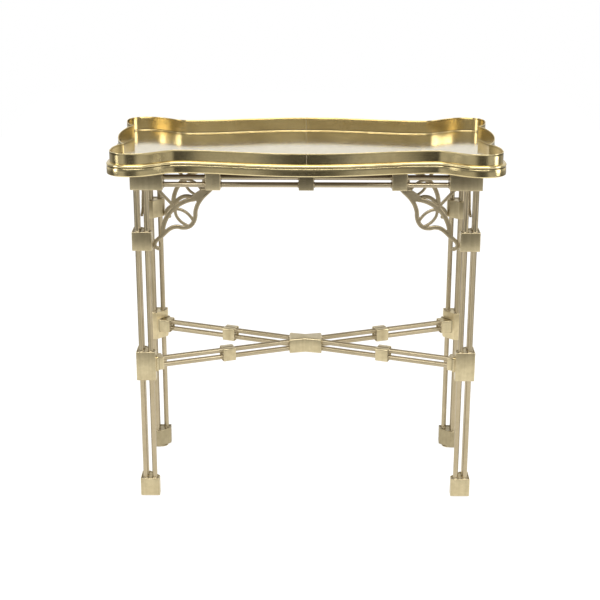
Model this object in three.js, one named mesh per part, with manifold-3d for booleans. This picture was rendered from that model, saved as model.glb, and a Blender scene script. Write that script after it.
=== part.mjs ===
// Brass tray table: a serpentine gallery tray that lifts off a stand of grouped round rods, square collars,
// pierced corner brackets and an X stretcher. Millimetres, +Z up, front towards -Y, feet on Z = 0.
import * as THREE from "three";
import { mergeVertices } from "three/addons/utils/BufferGeometryUtils.js";
import Module from "manifold-3d";

const wasm = await Module();
wasm.setup();

// ---- driving dimensions -------------------------------------------------------------------------

const GAP = 0.3; // room left between two pieces that touch or fit into each other
const OVERRUN = 1; // cutting tools run this far past the face they open
const SIDES = [-1, 1];

// rods and the square stock they run through
const ROD_R = 5.1;
const HOLE_R = ROD_R + GAP;
const ROD_SEGMENTS = 12;
const BLOCK = 39; // side of every foot, collar and block in plan
const BLOCK_HALF = BLOCK / 2;
const BLOCK_CHAMFER = 22; // the corner of a block that faces the middle of the table is cut away
const BLOCK_WALL = 1.8;
const BLOCK_RECESS = 1.5; // the plate that closes a block sits this far inside its rim
const EDGE_R = 1.6;

// legs
const LEG_X = 319.5;
const LEG_Y = 120;
const ROD_OFFSET = 9.3; // rods stand this far from the leg axis, along X and along Y
const GLIDE_R = 13;
const GLIDE_H = 2.5;
const GLIDE_TAPER = 1;
const GLIDE_SEGMENTS = 20;
const FOOT_Z = [GLIDE_H + GAP, 41];
const FOOT_FLOOR = 4;
const TIE_Z = [258.5, 319]; // block that takes the X stretcher
const COLLAR_Z = [530, 568];
const CAP_Z = [651.5, 687.5];
const CAP_ARM = 24; // length of a rail socket beyond the leg block
const LEG_ROD_Z = [FOOT_Z[0] + FOOT_FLOOR + GAP, 680];

// rails under the tray: two rods, one above the other, with square sleeves on them
const RAIL_Z = 666;
const RAIL_ROD_Z = 7.4;
const SOCKET_DEPTH = 12;
const RAIL_SLEEVE_W = 29;
const RAIL_SLEEVE_X = 179.5;
const SIDE_SLEEVE_W = 20;
const SIDE_SLEEVE_Y = 47;

// X stretcher
const TIE_MID_Z = 288.6;
const TIE_ROD_Z = 7.3;
const TIE_SLEEVE = 27.5;
const TIE_SLEEVE_L = 26.5;
const TIE_SLEEVE_R = 3.5;
const BOSS_REACH = 32; // end of the boss, from the leg axis
const KNUCKLE_HALF_L = 33.5;
const KNUCKLE_END_Y = 22.5; // half width at each end
const KNUCKLE_WAIST_Y = 14.5; // half width in the middle
const KNUCKLE_H = 31;

// brackets, drawn from the inner corner of leg and rail: a runs along the rail, b runs down the leg
const BRACKET_T = 5;
const ARC_CENTRE = [92.7, 94.6];
const ARC_R = 73.5;
const ARC_FROM = -178;
const ARC_TO = -90;
const ARC_STEP = 11;
const ARC_W = 8.8;
const OGEE_W = 7.8;
const LEAF_W = 5;
const SPOKE_W = 6.2;
const ARC_SPANS = 13; // straight spans that make up each strap
const OGEE_SPANS = 24;
const TAIL_SPANS = 7;
const LEAF_SPANS = 8;
const OGEE = [
  [120, -3],
  [111.4, 6],
  [100.8, 16.2],
  [94.4, 24.2],
  [88.8, 33.9],
  [85, 46],
  [84.3, 56],
  [82, 65],
  [77.8, 72.2],
  [72.5, 76.8],
  [65, 79.2],
  [57, 79.2],
  [49.7, 77.6],
  [41, 78.6],
  [33.2, 82.4],
  [25.8, 88.7],
  [19, 95.5],
];
const TAIL = [
  [19, 95.5],
  [12, 101.5],
  [6.5, 106.5],
  [3.7, 113],
  [5, 119],
  [10, 121.5],
];
const KNOB_R = 4.4;
const SIDE_TAIL = [
  [19, 95.5],
  [8, 101.5],
  [-6, 109],
  [-21, 115.5],
];
const LEAF_UPPER = [
  [45, 41.5],
  [57, 43.5],
  [68.5, 50.2],
  [77, 60],
  [81.5, 68],
];
const LEAF_LOWER = [
  [45, 41.5],
  [46.8, 54],
  [53, 64.3],
  [62, 71.8],
  [71, 76.5],
];
const SPOKE = [
  [9, -1.5],
  [48, 42],
];
const WEB = [
  [76, 19],
  [86, 9],
  [97, 2],
  [118, 1],
  [108, 10],
  [99, 20],
  [92.5, 30],
  [86.5, 26],
];
const TRIM_REACH = 200; // the blocks that square off the flat bracket reach this far
const SIDE_SCALE = 0.5;
const SIDE_STRAP = 0.7;
const SIDE_PLANE = LEG_X + ROD_OFFSET - ROD_R - GAP - BRACKET_T / 2;

// tray
const TRAY_Z = CAP_Z[1] + GAP;
const BOARD_T = 13.7;
const SHEET_T = 1.2;
const WALL_T = 1.6;
const RIM_Z = 732;
const BAND_T = 6.4; // how far the edge band stands out from the gallery
const CLEAT_X = [272, 297.5];
const CLEAT_Y = 98;
const CLEAT_H = 11;

// quarter of the tray outline, on the outer face of the gallery, as Bezier curves from the middle of the long
// side round the corner ear to the notch, and from the notch to the middle of the short side
const LONG_SIDE = [
  [[0, 175], [105, 175], [165, 144], [245, 144]],
  [[245, 144], [277, 144], [294, 179.5], [336, 179.5]],
  [[336, 179.5], [359, 179.5], [374.6, 165], [374.6, 145]],
  [[374.6, 145], [374.6, 124], [372, 103], [356, 88]],
];
const SHORT_SIDE = [[[356, 88], [367, 70], [374.6, 36], [374.6, 0]]];
const LONG_POINTS = 30;
const SHORT_POINTS = 7;
const BEZIER_STEPS = 48;

// section of the edge band: [distance out from the gallery face, height above its foot]
const BAND_PROFILE = [
  [GAP, 0],
  [5, 0],
  [BAND_T, 1.8],
  [BAND_T, 16],
  [4.9, 17.8],
  [6, 19.2],
  [5.6, 21.8],
  [3.6, 23],
  [GAP, 23],
];

// ---- materials ----------------------------------------------------------------------------------

const material = (name, colour, roughness, metalness) => {
  const made = new THREE.MeshStandardMaterial({ color: colour, roughness, metalness });
  made.name = name;
  return made;
};
const ROD_BRASS = () => material("rod_brass", 0xa99a72, 0.38, 1);
const BLOCK_BRASS = () => material("block_brass", 0x9f9168, 0.42, 1);
const BRACKET_BRASS = () => material("bracket_brass", 0xa4956c, 0.44, 1);
const TRAY_BRASS = () => material("tray_brass", 0xa8975f, 0.3, 1);
const FLOOR_BRASS = () => material("floor_brass", 0xc2b48c, 0.2, 1);
const BOARD_WOOD = () => material("board_wood", 0x4a3a2b, 0.8, 0);
const GLIDE_METAL = () => material("glide_metal", 0x8d8560, 0.45, 1);

const group = new THREE.Group();
group.name = "brass_tray_table";

function add(name, geometry, paint) {
  const mesh = new THREE.Mesh(geometry, paint());
  mesh.name = name;
  group.add(mesh);
}

// ---- solids -------------------------------------------------------------------------------------

function toSolid(geometry) {
  const bare = geometry.clone();
  bare.deleteAttribute("normal");
  bare.deleteAttribute("uv");
  const merged = mergeVertices(bare, 1e-4);
  return new wasm.Manifold(
    new wasm.Mesh({
      numProp: 3,
      vertProperties: new Float32Array(merged.attributes.position.array),
      triVerts: new Uint32Array(merged.index.array),
    }),
  );
}

function toGeometry(solid) {
  const mesh = solid.getMesh();
  const geometry = new THREE.BufferGeometry();
  geometry.setAttribute("position", new THREE.BufferAttribute(mesh.vertProperties, 3));
  geometry.setIndex(new THREE.BufferAttribute(mesh.triVerts, 1));
  geometry.computeVertexNormals();
  return geometry;
}

const union = (parts) => parts.map(toSolid).reduce((all, one) => all.add(one));
const cut = (solid, tools) => tools.map(toSolid).reduce((left, tool) => left.subtract(tool), solid);

// A prism between two heights over an outline of [x, y] points.
function prism(points, z0, z1) {
  const shape = new THREE.Shape(points.map(([x, y]) => new THREE.Vector2(x, y)));
  const geometry = new THREE.ExtrudeGeometry(shape, { depth: z1 - z0, bevelEnabled: false });
  return geometry.translate(0, 0, z0);
}

function box(x0, x1, y0, y1, z0, z1) {
  const geometry = new THREE.BoxGeometry(x1 - x0, y1 - y0, z1 - z0);
  return geometry.translate((x0 + x1) / 2, (y0 + y1) / 2, (z0 + z1) / 2);
}

// A round bar between two points.
function bar(from, to, radius) {
  const a = new THREE.Vector3(...from);
  const b = new THREE.Vector3(...to);
  const along = b.clone().sub(a);
  const geometry = new THREE.CylinderGeometry(radius, radius, along.length(), ROD_SEGMENTS);
  const turn = new THREE.Quaternion().setFromUnitVectors(new THREE.Vector3(0, 1, 0), along.normalize());
  geometry.applyQuaternion(turn);
  return geometry.translate(...a.add(b).multiplyScalar(0.5).toArray());
}

// Rounds every corner of a polygon with a short arc.
function rounded(points, radius, steps = 2) {
  const out = [];
  points.forEach((p, i) => {
    const here = new THREE.Vector2(...p);
    const before = new THREE.Vector2(...points[(i + points.length - 1) % points.length]);
    const after = new THREE.Vector2(...points[(i + 1) % points.length]);
    const back = before.sub(here).normalize();
    const on = after.sub(here).normalize();
    const half = Math.acos(THREE.MathUtils.clamp(back.dot(on), -1, 1)) / 2;
    const reach = radius / Math.tan(half);
    const start = here.clone().addScaledVector(back, reach);
    const end = here.clone().addScaledVector(on, reach);
    const curve = new THREE.QuadraticBezierCurve(start, here, end);
    curve.getPoints(steps).forEach((q) => out.push([q.x, q.y]));
  });
  return out;
}

// ---- leg pieces ---------------------------------------------------------------------------------

// Outline of a block with its inner corner cut away, inset by d; u and v point out from the table.
function blockOutline(sx, sy, d) {
  const h = BLOCK_HALF - d;
  const c = BLOCK_CHAMFER - d * (2 - Math.SQRT2);
  const corners = [
    [h, h],
    [-h, h],
    [-h, -h + c],
    [-h + c, -h],
    [h, -h],
  ];
  return rounded(corners, EDGE_R).map(([u, v]) => [sx * (LEG_X + u), sy * (LEG_Y + v)]);
}

// The three rods of a leg stand at the outer corner and the two corners beside it.
const rodPlaces = (sx, sy) =>
  [
    ["outer", 1, 1],
    ["side", 1, -1],
    ["face", -1, 1],
  ].map(([name, u, v]) => [name, sx * (LEG_X + u * ROD_OFFSET), sy * (LEG_Y + v * ROD_OFFSET)]);

const rodHoles = (sx, sy, z0, z1) =>
  rodPlaces(sx, sy).map(([, x, y]) => bar([x, y, z0], [x, y, z1], HOLE_R));

// A block with an open cup at the top, and one at the bottom when it has no floor.
function blockSolid(sx, sy, [z0, z1], openBelow) {
  const tools = [prism(blockOutline(sx, sy, BLOCK_WALL), z1 - BLOCK_RECESS, z1 + OVERRUN)];
  if (openBelow) tools.push(prism(blockOutline(sx, sy, BLOCK_WALL), z0 - OVERRUN, z0 + BLOCK_RECESS));
  return cut(toSolid(prism(blockOutline(sx, sy, 0), z0, z1)), tools);
}

const tieAngle = Math.atan2(LEG_Y, LEG_X);
const tieLength = Math.hypot(LEG_X, LEG_Y);

// Turns a shape drawn along +X into the arm of the stretcher that runs to one leg.
function toArm(geometry, sx, sy) {
  const angle = Math.atan2(sy * Math.sin(tieAngle), sx * Math.cos(tieAngle));
  return geometry.rotateZ(angle).translate(0, 0, TIE_MID_Z);
}

// A square tube section drawn along X between two distances from the middle of the table.
function alongArm(from, to, width, height, radius) {
  const w = width / 2;
  const h = height / 2;
  const corners = [
    [-w, -h],
    [w, -h],
    [w, h],
    [-w, h],
  ];
  const geometry = prism(rounded(corners, radius), 0, to - from);
  return geometry.rotateX(Math.PI / 2).rotateZ(Math.PI / 2).translate(from, 0, 0);
}

const tieRods = (from, to, radius) =>
  SIDES.map((s) => bar([from, 0, s * TIE_ROD_Z], [to, 0, s * TIE_ROD_Z], radius));

function tieBlock(sx, sy) {
  const end = tieLength - BOSS_REACH;
  const boss = toArm(alongArm(end, tieLength, TIE_SLEEVE, TIE_SLEEVE, TIE_SLEEVE_R), sx, sy);
  const sockets = tieRods(end - OVERRUN, end + SOCKET_DEPTH + GAP, HOLE_R).map((g) => toArm(g, sx, sy));
  const body = blockSolid(sx, sy, TIE_Z, true).add(toSolid(boss));
  return cut(body, [...rodHoles(sx, sy, TIE_Z[0] - OVERRUN, TIE_Z[1] + OVERRUN), ...sockets]);
}

// The cap at the head of a leg is an L: the leg block with a rail socket on each inner side.
function capSolid(sx, sy) {
  const h = BLOCK_HALF;
  const arm = BLOCK_HALF + CAP_ARM;
  const corners = [
    [h, h],
    [-arm, h],
    [-arm, -h],
    [-h, -h],
    [-h, -arm],
    [h, -arm],
  ];
  const outline = rounded(corners, EDGE_R).map(([u, v]) => [sx * (LEG_X + u), sy * (LEG_Y + v)]);
  const tools = rodHoles(sx, sy, CAP_Z[0] - OVERRUN, LEG_ROD_Z[1] + GAP);
  const endX = LEG_X - arm;
  const endY = LEG_Y - arm;
  SIDES.forEach((s) => {
    const z = RAIL_Z + s * RAIL_ROD_Z;
    const deep = SOCKET_DEPTH + GAP;
    tools.push(bar([sx * (endX - OVERRUN), sy * LEG_Y, z], [sx * (endX + deep), sy * LEG_Y, z], HOLE_R));
    tools.push(bar([sx * LEG_X, sy * (endY - OVERRUN), z], [sx * LEG_X, sy * (endY + deep), z], HOLE_R));
  });
  return cut(toSolid(prism(outline, ...CAP_Z)), tools);
}

const wayX = (s) => (s < 0 ? "left" : "right");
const wayY = (s) => (s < 0 ? "front" : "back");

SIDES.forEach((sy) =>
  SIDES.forEach((sx) => {
    const corner = wayY(sy) + "_" + wayX(sx);
    const glide = new THREE.CylinderGeometry(GLIDE_R, GLIDE_R - GLIDE_TAPER, GLIDE_H, GLIDE_SEGMENTS);
    glide.rotateX(Math.PI / 2).translate(sx * LEG_X, sy * LEG_Y, GLIDE_H / 2);
    add("glide_" + corner, glide, GLIDE_METAL);
    const footHoles = rodHoles(sx, sy, LEG_ROD_Z[0] - GAP, FOOT_Z[1] + OVERRUN);
    const foot = cut(blockSolid(sx, sy, FOOT_Z, false), footHoles);
    add("foot_" + corner, toGeometry(foot), BLOCK_BRASS);
    add("tie_block_" + corner, toGeometry(tieBlock(sx, sy)), BLOCK_BRASS);
    const collarHoles = rodHoles(sx, sy, COLLAR_Z[0] - OVERRUN, COLLAR_Z[1] + OVERRUN);
    const collar = cut(blockSolid(sx, sy, COLLAR_Z, true), collarHoles);
    add("collar_" + corner, toGeometry(collar), BLOCK_BRASS);
    add("cap_" + corner, toGeometry(capSolid(sx, sy)), BLOCK_BRASS);
    rodPlaces(sx, sy).forEach(([name, x, y]) => {
      const rod = bar([x, y, LEG_ROD_Z[0]], [x, y, LEG_ROD_Z[1]], ROD_R);
      add("leg_rod_" + corner + "_" + name, rod, ROD_BRASS);
    });
  }),
);

// ---- rails --------------------------------------------------------------------------------------

const railReachX = LEG_X - BLOCK_HALF - CAP_ARM + SOCKET_DEPTH;
const railReachY = LEG_Y - BLOCK_HALF - CAP_ARM + SOCKET_DEPTH;
const middleHalf = RAIL_SLEEVE_W / 2;

SIDES.forEach((sy) => {
  const y = sy * LEG_Y;
  const near = y - BLOCK_HALF;
  const far = y + BLOCK_HALF;
  const levels = SIDES.map((s) => RAIL_Z + s * RAIL_ROD_Z);
  const rods = levels.map((z) => bar([-railReachX, y, z], [railReachX, y, z], ROD_R));
  const sleeves = SIDES.map((s) => {
    const x = s * RAIL_SLEEVE_X;
    return box(x - middleHalf, x + middleHalf, near, far, CAP_Z[0], CAP_Z[1]);
  });
  add("rail_" + wayY(sy), toGeometry(union([...sleeves, ...rods])), ROD_BRASS);
  const holes = levels.map((z) => bar([-middleHalf - OVERRUN, y, z], [middleHalf + OVERRUN, y, z], HOLE_R));
  const middle = cut(toSolid(box(-middleHalf, middleHalf, near, far, CAP_Z[0], CAP_Z[1])), holes);
  add("rail_sleeve_" + wayY(sy), toGeometry(middle), BLOCK_BRASS);
});

SIDES.forEach((sx) => {
  const x = sx * LEG_X;
  const rods = SIDES.map((s) => {
    const z = RAIL_Z + s * RAIL_ROD_Z;
    return bar([x, -railReachY, z], [x, railReachY, z], ROD_R);
  });
  const sleeves = SIDES.map((s) => {
    const y = s * SIDE_SLEEVE_Y;
    const half = SIDE_SLEEVE_W / 2;
    return box(x - BLOCK_HALF, x + BLOCK_HALF, y - half, y + half, CAP_Z[0], CAP_Z[1]);
  });
  add("rail_" + wayX(sx), toGeometry(union([...sleeves, ...rods])), ROD_BRASS);
});

// ---- X stretcher --------------------------------------------------------------------------------

const armFrom = KNUCKLE_HALF_L / Math.cos(tieAngle) - SOCKET_DEPTH;
const armTo = tieLength - BOSS_REACH + SOCKET_DEPTH;
const knuckleTools = [];

SIDES.forEach((sy) =>
  SIDES.forEach((sx) => {
    const middle = tieLength / 2;
    const half = TIE_SLEEVE_L / 2;
    const sleeve = alongArm(middle - half, middle + half, TIE_SLEEVE, TIE_SLEEVE, TIE_SLEEVE_R);
    const pieces = [sleeve, ...tieRods(armFrom, armTo, ROD_R)].map((g) => toArm(g, sx, sy));
    add("stretcher_" + wayY(sy) + "_" + wayX(sx), toGeometry(union(pieces)), ROD_BRASS);
    const ends = tieRods(armFrom - GAP, 2 * KNUCKLE_HALF_L, HOLE_R);
    ends.forEach((g) => knuckleTools.push(toArm(g, sx, sy)));
  }),
);
const knuckleOutline = [
  [KNUCKLE_HALF_L, -KNUCKLE_END_Y],
  [KNUCKLE_HALF_L, KNUCKLE_END_Y],
  [0, KNUCKLE_WAIST_Y],
  [-KNUCKLE_HALF_L, KNUCKLE_END_Y],
  [-KNUCKLE_HALF_L, -KNUCKLE_END_Y],
  [0, -KNUCKLE_WAIST_Y],
];
const knuckleZ = [TIE_MID_Z - KNUCKLE_H / 2, TIE_MID_Z + KNUCKLE_H / 2];
const knuckle = toSolid(prism(rounded(knuckleOutline, EDGE_R), ...knuckleZ));
add("stretcher_knuckle", toGeometry(cut(knuckle, knuckleTools)), BLOCK_BRASS);

// ---- brackets -----------------------------------------------------------------------------------

// A strap of even width along a smooth line through the points.
function strap(points, width, spans) {
  const curve = new THREE.SplineCurve(points.map(([a, b]) => new THREE.Vector2(a, b)));
  const left = [];
  const right = [];
  for (let i = 0; i <= spans; i++) {
    const p = curve.getPoint(i / spans);
    const t = curve.getTangent(i / spans);
    left.push([p.x - (t.y * width) / 2, p.y + (t.x * width) / 2]);
    right.push([p.x + (t.y * width) / 2, p.y - (t.x * width) / 2]);
  }
  return [...left, ...right.reverse()];
}

function arcPoints() {
  const out = [];
  for (let angle = ARC_FROM; angle <= ARC_TO; angle += ARC_STEP) {
    const t = THREE.MathUtils.degToRad(angle);
    out.push([ARC_CENTRE[0] + ARC_R * Math.cos(t), ARC_CENTRE[1] + ARC_R * Math.sin(t)]);
  }
  return out;
}

// Bracket drawn flat: a to the right, b as Y, cut off square where it meets its neighbours.
function bracketSolid(scale, strapScale, tail, edge) {
  const sized = (points) => points.map(([a, b]) => [a * scale, b * scale]);
  const line = (points, width, spans) => strap(sized(points), width * strapScale, spans);
  const outlines = [
    line(arcPoints(), ARC_W, ARC_SPANS),
    line(OGEE, OGEE_W, OGEE_SPANS),
    line(tail, OGEE_W, TAIL_SPANS),
    line(LEAF_UPPER, LEAF_W, LEAF_SPANS),
    line(LEAF_LOWER, LEAF_W, LEAF_SPANS),
    line(SPOKE, SPOKE_W, 1),
    sized(WEB),
  ];
  const half = BRACKET_T / 2;
  const plates = outlines.map((points) => prism(points, -half, half));
  const [reach, thick] = [TRIM_REACH, BRACKET_T];
  const tools = [box(-reach, reach, -reach, GAP, -thick, thick)];
  if (edge) {
    const [knobA, knobB] = tail.at(-1);
    plates.push(bar([knobA, knobB, -half], [knobA, knobB, half], KNOB_R));
    tools.push(box(-reach, GAP, -reach, reach, -thick, thick));
  }
  return cut(union(plates), tools);
}

// Stands a flat bracket up at a corner: a runs along the given direction, b runs down.
function placed(solid, origin, along) {
  const a = new THREE.Vector3(...along);
  const b = new THREE.Vector3(0, 0, -1);
  const matrix = new THREE.Matrix4().makeBasis(a, b, new THREE.Vector3().crossVectors(a, b));
  matrix.setPosition(...origin);
  return toGeometry(solid).applyMatrix4(matrix);
}

const faceBracket = bracketSolid(1, 1, TAIL, true);
const sideBracket = bracketSolid(SIDE_SCALE, SIDE_STRAP, SIDE_TAIL, false);

SIDES.forEach((sy) =>
  SIDES.forEach((sx) => {
    const corner = wayY(sy) + "_" + wayX(sx);
    const inX = sx * (LEG_X - BLOCK_HALF);
    const inY = sy * (LEG_Y - BLOCK_HALF);
    const onFace = placed(faceBracket, [inX, sy * LEG_Y, CAP_Z[0]], [-sx, 0, 0]);
    add("face_bracket_" + corner, onFace, BRACKET_BRASS);
    const onSide = placed(sideBracket, [sx * SIDE_PLANE, inY, CAP_Z[0]], [0, -sy, 0]);
    add("side_bracket_" + corner, onSide, BRACKET_BRASS);
  }),
);

// ---- tray ---------------------------------------------------------------------------------------

function bezierLine(curves) {
  const out = [];
  curves.forEach((controls, i) => {
    const curve = new THREE.CubicBezierCurve(...controls.map(([x, y]) => new THREE.Vector2(x, y)));
    curve.getPoints(BEZIER_STEPS).forEach((p, j) => {
      if (i === 0 || j > 0) out.push(p);
    });
  });
  return out;
}

// Moves an open line sideways by d, to the left of its direction of travel.
function shifted(line, d) {
  return line.map((p, i) => {
    const t = line[Math.min(i + 1, line.length - 1)].clone().sub(line[Math.max(i - 1, 0)]).normalize();
    return new THREE.Vector2(p.x - t.y * d, p.y + t.x * d);
  });
}

function crossing(a, b, c, d) {
  const r = b.clone().sub(a);
  const s = d.clone().sub(c);
  const area = r.x * s.y - r.y * s.x;
  if (Math.abs(area) < 1e-9) return null;
  const q = c.clone().sub(a);
  const t = (q.x * s.y - q.y * s.x) / area;
  const u = (q.x * r.y - q.y * r.x) / area;
  if (t < 0 || t > 1 || u < 0 || u > 1) return null;
  return a.clone().addScaledVector(r, t);
}

// Evenly spaced points along a line.
function spaced(line, count) {
  const run = [0];
  for (let i = 1; i < line.length; i++) run.push(run[i - 1] + line[i].distanceTo(line[i - 1]));
  const out = [];
  for (let k = 0; k <= count; k++) {
    const want = (run.at(-1) * k) / count;
    const i = Math.max(1, run.findIndex((length) => length >= want - 1e-9));
    const t = (want - run[i - 1]) / (run[i] - run[i - 1]);
    out.push(line[i - 1].clone().lerp(line[i], t));
  }
  return out;
}

// Quarter outline moved outwards by d, with the two sides trimmed where they meet at the notch.
function quarter(d) {
  const long = shifted(bezierLine(LONG_SIDE), d);
  const short = shifted(bezierLine(SHORT_SIDE), d);
  const reach = 3 * Math.abs(d) + 1;
  const before = long.at(-1).clone().sub(long.at(-2)).setLength(reach);
  long.push(long.at(-1).clone().add(before));
  const after = short[0].clone().sub(short[1]).setLength(reach);
  short.unshift(short[0].clone().add(after));
  for (let i = long.length - 2; i >= 0; i--) {
    for (let j = 0; j < short.length - 1; j++) {
      const meet = crossing(long[i], long[i + 1], short[j], short[j + 1]);
      if (!meet) continue;
      const upper = spaced([...long.slice(0, i + 1), meet], LONG_POINTS);
      const lower = spaced([meet, ...short.slice(j + 1)], SHORT_POINTS);
      return [...upper, ...lower.slice(1)];
    }
  }
  throw new Error("the two sides of the outline do not meet");
}

// Half outline, from the back seam round one end to the front seam.
function halfOutline(sx, d) {
  const points = quarter(d).map((p) => [Math.max(p.x, GAP / 2), p.y]);
  const mirrored = points.slice(0, -1).reverse().map(([x, y]) => [x, -y]);
  return [...points, ...mirrored].map(([x, y]) => [sx * x, y]);
}

function wholeOutline(d) {
  const right = quarter(d).map((p) => [p.x, p.y]);
  const down = right.slice(0, -1).reverse().map(([x, y]) => [x, -y]);
  const half = [...right, ...down];
  const other = half.slice(1, -1).reverse().map(([x, y]) => [-x, y]);
  return [...half, ...other];
}

// Carries a closed section of [distance out, height] round one half of the tray.
function swept(sx, section, z) {
  const rings = section.map(([d, h]) => halfOutline(sx, d).map(([x, y]) => [x, y, z + h]));
  const stations = rings[0].length;
  const positions = [];
  rings.forEach((ring) => ring.forEach((p) => positions.push(...p)));
  const at = (ring, station) => ring * stations + station;
  const faces = [];
  const face = (a, b, c) => faces.push(...(sx > 0 ? [a, b, c] : [a, c, b]));
  rings.forEach((_, i) => {
    const next = (i + 1) % rings.length;
    for (let s = 0; s < stations - 1; s++) {
      face(at(i, s), at(next, s), at(i, s + 1));
      face(at(i, s + 1), at(next, s), at(next, s + 1));
    }
  });
  const flat = section.map(([d, h]) => new THREE.Vector2(d, h));
  THREE.ShapeUtils.triangulateShape(flat, []).forEach(([a, b, c]) => {
    face(at(c, 0), at(b, 0), at(a, 0));
    face(at(a, stations - 1), at(b, stations - 1), at(c, stations - 1));
  });
  const geometry = new THREE.BufferGeometry();
  geometry.setAttribute("position", new THREE.Float32BufferAttribute(positions, 3));
  geometry.setIndex(faces);
  geometry.computeVertexNormals();
  return geometry;
}

const boardTop = TRAY_Z + BOARD_T;
const sheetZ = boardTop + GAP;
const wallSection = [
  [-WALL_T, 0],
  [0, 0],
  [0, RIM_Z - sheetZ],
  [-WALL_T, RIM_Z - sheetZ],
];

add("tray_board", prism(wholeOutline(0), TRAY_Z, boardTop), BOARD_WOOD);
add("tray_floor", prism(wholeOutline(-WALL_T - GAP), sheetZ, sheetZ + SHEET_T), FLOOR_BRASS);
SIDES.forEach((sx) => {
  add("gallery_" + wayX(sx), swept(sx, wallSection, sheetZ), TRAY_BRASS);
  add("edge_band_" + wayX(sx), swept(sx, BAND_PROFILE, TRAY_Z), TRAY_BRASS);
  const inner = sx * CLEAT_X[0];
  const outer = sx * CLEAT_X[1];
  const cleatTop = TRAY_Z - GAP / 2;
  const [x0, x1] = [Math.min(inner, outer), Math.max(inner, outer)];
  const cleat = box(x0, x1, -CLEAT_Y, CLEAT_Y, cleatTop - CLEAT_H, cleatTop);
  add("tray_cleat_" + wayX(sx), cleat, BOARD_WOOD);
});

export default group;
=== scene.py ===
import math

import bmesh
import bpy
from mathutils import Matrix, Vector, noise
from mathutils.geometry import tessellate_polygon


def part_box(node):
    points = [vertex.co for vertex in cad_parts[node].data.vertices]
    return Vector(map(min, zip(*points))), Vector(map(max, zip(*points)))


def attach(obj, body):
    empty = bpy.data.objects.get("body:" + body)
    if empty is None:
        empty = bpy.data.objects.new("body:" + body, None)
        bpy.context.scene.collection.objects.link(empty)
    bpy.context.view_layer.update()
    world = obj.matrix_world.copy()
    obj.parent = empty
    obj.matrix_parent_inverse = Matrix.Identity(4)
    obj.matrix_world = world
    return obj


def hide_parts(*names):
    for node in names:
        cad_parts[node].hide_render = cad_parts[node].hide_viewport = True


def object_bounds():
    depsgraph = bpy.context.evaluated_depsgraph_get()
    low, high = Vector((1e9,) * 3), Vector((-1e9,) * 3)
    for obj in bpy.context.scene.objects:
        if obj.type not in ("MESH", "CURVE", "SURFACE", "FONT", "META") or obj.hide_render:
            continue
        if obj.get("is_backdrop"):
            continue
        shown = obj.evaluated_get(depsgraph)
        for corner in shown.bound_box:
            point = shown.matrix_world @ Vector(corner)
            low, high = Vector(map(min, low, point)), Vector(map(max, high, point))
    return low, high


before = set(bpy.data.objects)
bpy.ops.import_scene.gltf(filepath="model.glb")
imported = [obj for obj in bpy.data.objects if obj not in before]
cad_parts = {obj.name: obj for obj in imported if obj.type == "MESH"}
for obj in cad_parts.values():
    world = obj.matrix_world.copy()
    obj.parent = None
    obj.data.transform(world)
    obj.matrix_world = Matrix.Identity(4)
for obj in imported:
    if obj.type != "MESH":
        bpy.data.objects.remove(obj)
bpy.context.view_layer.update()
MM = 0.001
SIDES = (-1, 1)


def size_of(node):
    """A CAD node's box in millimetres: lowest and highest corner."""
    lo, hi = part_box(node)
    return Vector(lo) / MM, Vector(hi) / MM


# ---- materials -----------------------------------------------------------------------------------


class Tree:
    """A short way to write a material's nodes."""

    def __init__(self, name):
        self.material = bpy.data.materials.new(name)
        self.material.use_nodes = True
        self.tree = self.material.node_tree
        self.tree.nodes.clear()
        self.out = self.node("ShaderNodeOutputMaterial")
        self.shader = self.node("ShaderNodeBsdfPrincipled")
        self.link(self.shader.outputs[0], self.out.inputs[0])
        self.coord = self.node("ShaderNodeTexCoord").outputs["Object"]

    def node(self, kind, **facts):
        made = self.tree.nodes.new(kind)
        for key, value in facts.items():
            setattr(made, key, value)
        return made

    def link(self, a, b):
        self.tree.links.new(a, b)

    def noise(self, scale, detail=3.0, stretch=None, turn=0.0, distortion=0.0, rough=0.5):
        coord = self.coord
        if stretch:
            place = self.node("ShaderNodeMapping")
            place.vector_type = "TEXTURE"
            place.inputs["Rotation"].default_value = (0, 0, turn)
            place.inputs["Scale"].default_value = stretch
            self.link(coord, place.inputs[0])
            coord = place.outputs[0]
        made = self.node("ShaderNodeTexNoise")
        made.inputs["Scale"].default_value = scale
        made.inputs["Detail"].default_value = detail
        made.inputs["Roughness"].default_value = rough
        made.inputs["Distortion"].default_value = distortion
        self.link(coord, made.inputs["Vector"])
        return made.outputs["Fac"]

    def ramp(self, value, stops):
        made = self.node("ShaderNodeValToRGB")
        items = made.color_ramp.elements
        while len(items) < len(stops):
            items.new(0.5)
        for item, (place, colour) in zip(items, stops):
            item.position = place
            item.color = (*colour, 1) if isinstance(colour, tuple) else (colour, colour, colour, 1)
        self.link(value, made.inputs[0])
        return made.outputs[0]

    def mix(self, amount, a, b):
        made = self.node("ShaderNodeMix", data_type="RGBA")
        for socket, value in zip((made.inputs[0], made.inputs[6], made.inputs[7]), (amount, a, b)):
            if isinstance(value, bpy.types.NodeSocket):
                self.link(value, socket)
            elif isinstance(value, tuple):
                socket.default_value = (*value, 1)
            else:
                socket.default_value = value
        return made.outputs[2]

    def maths(self, how, a, b=0.0, c=0.0):
        made = self.node("ShaderNodeMath", operation=how)
        for socket, value in zip(made.inputs, (a, b, c)):
            if isinstance(value, bpy.types.NodeSocket):
                self.link(value, socket)
            else:
                socket.default_value = value
        return made.outputs[0]

    def bump(self, height, strength, distance, under=None):
        made = self.node("ShaderNodeBump")
        made.inputs["Strength"].default_value = strength
        made.inputs["Distance"].default_value = distance
        self.link(height, made.inputs["Height"])
        if under:
            self.link(under, made.inputs["Normal"])
        return made.outputs[0]


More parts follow.
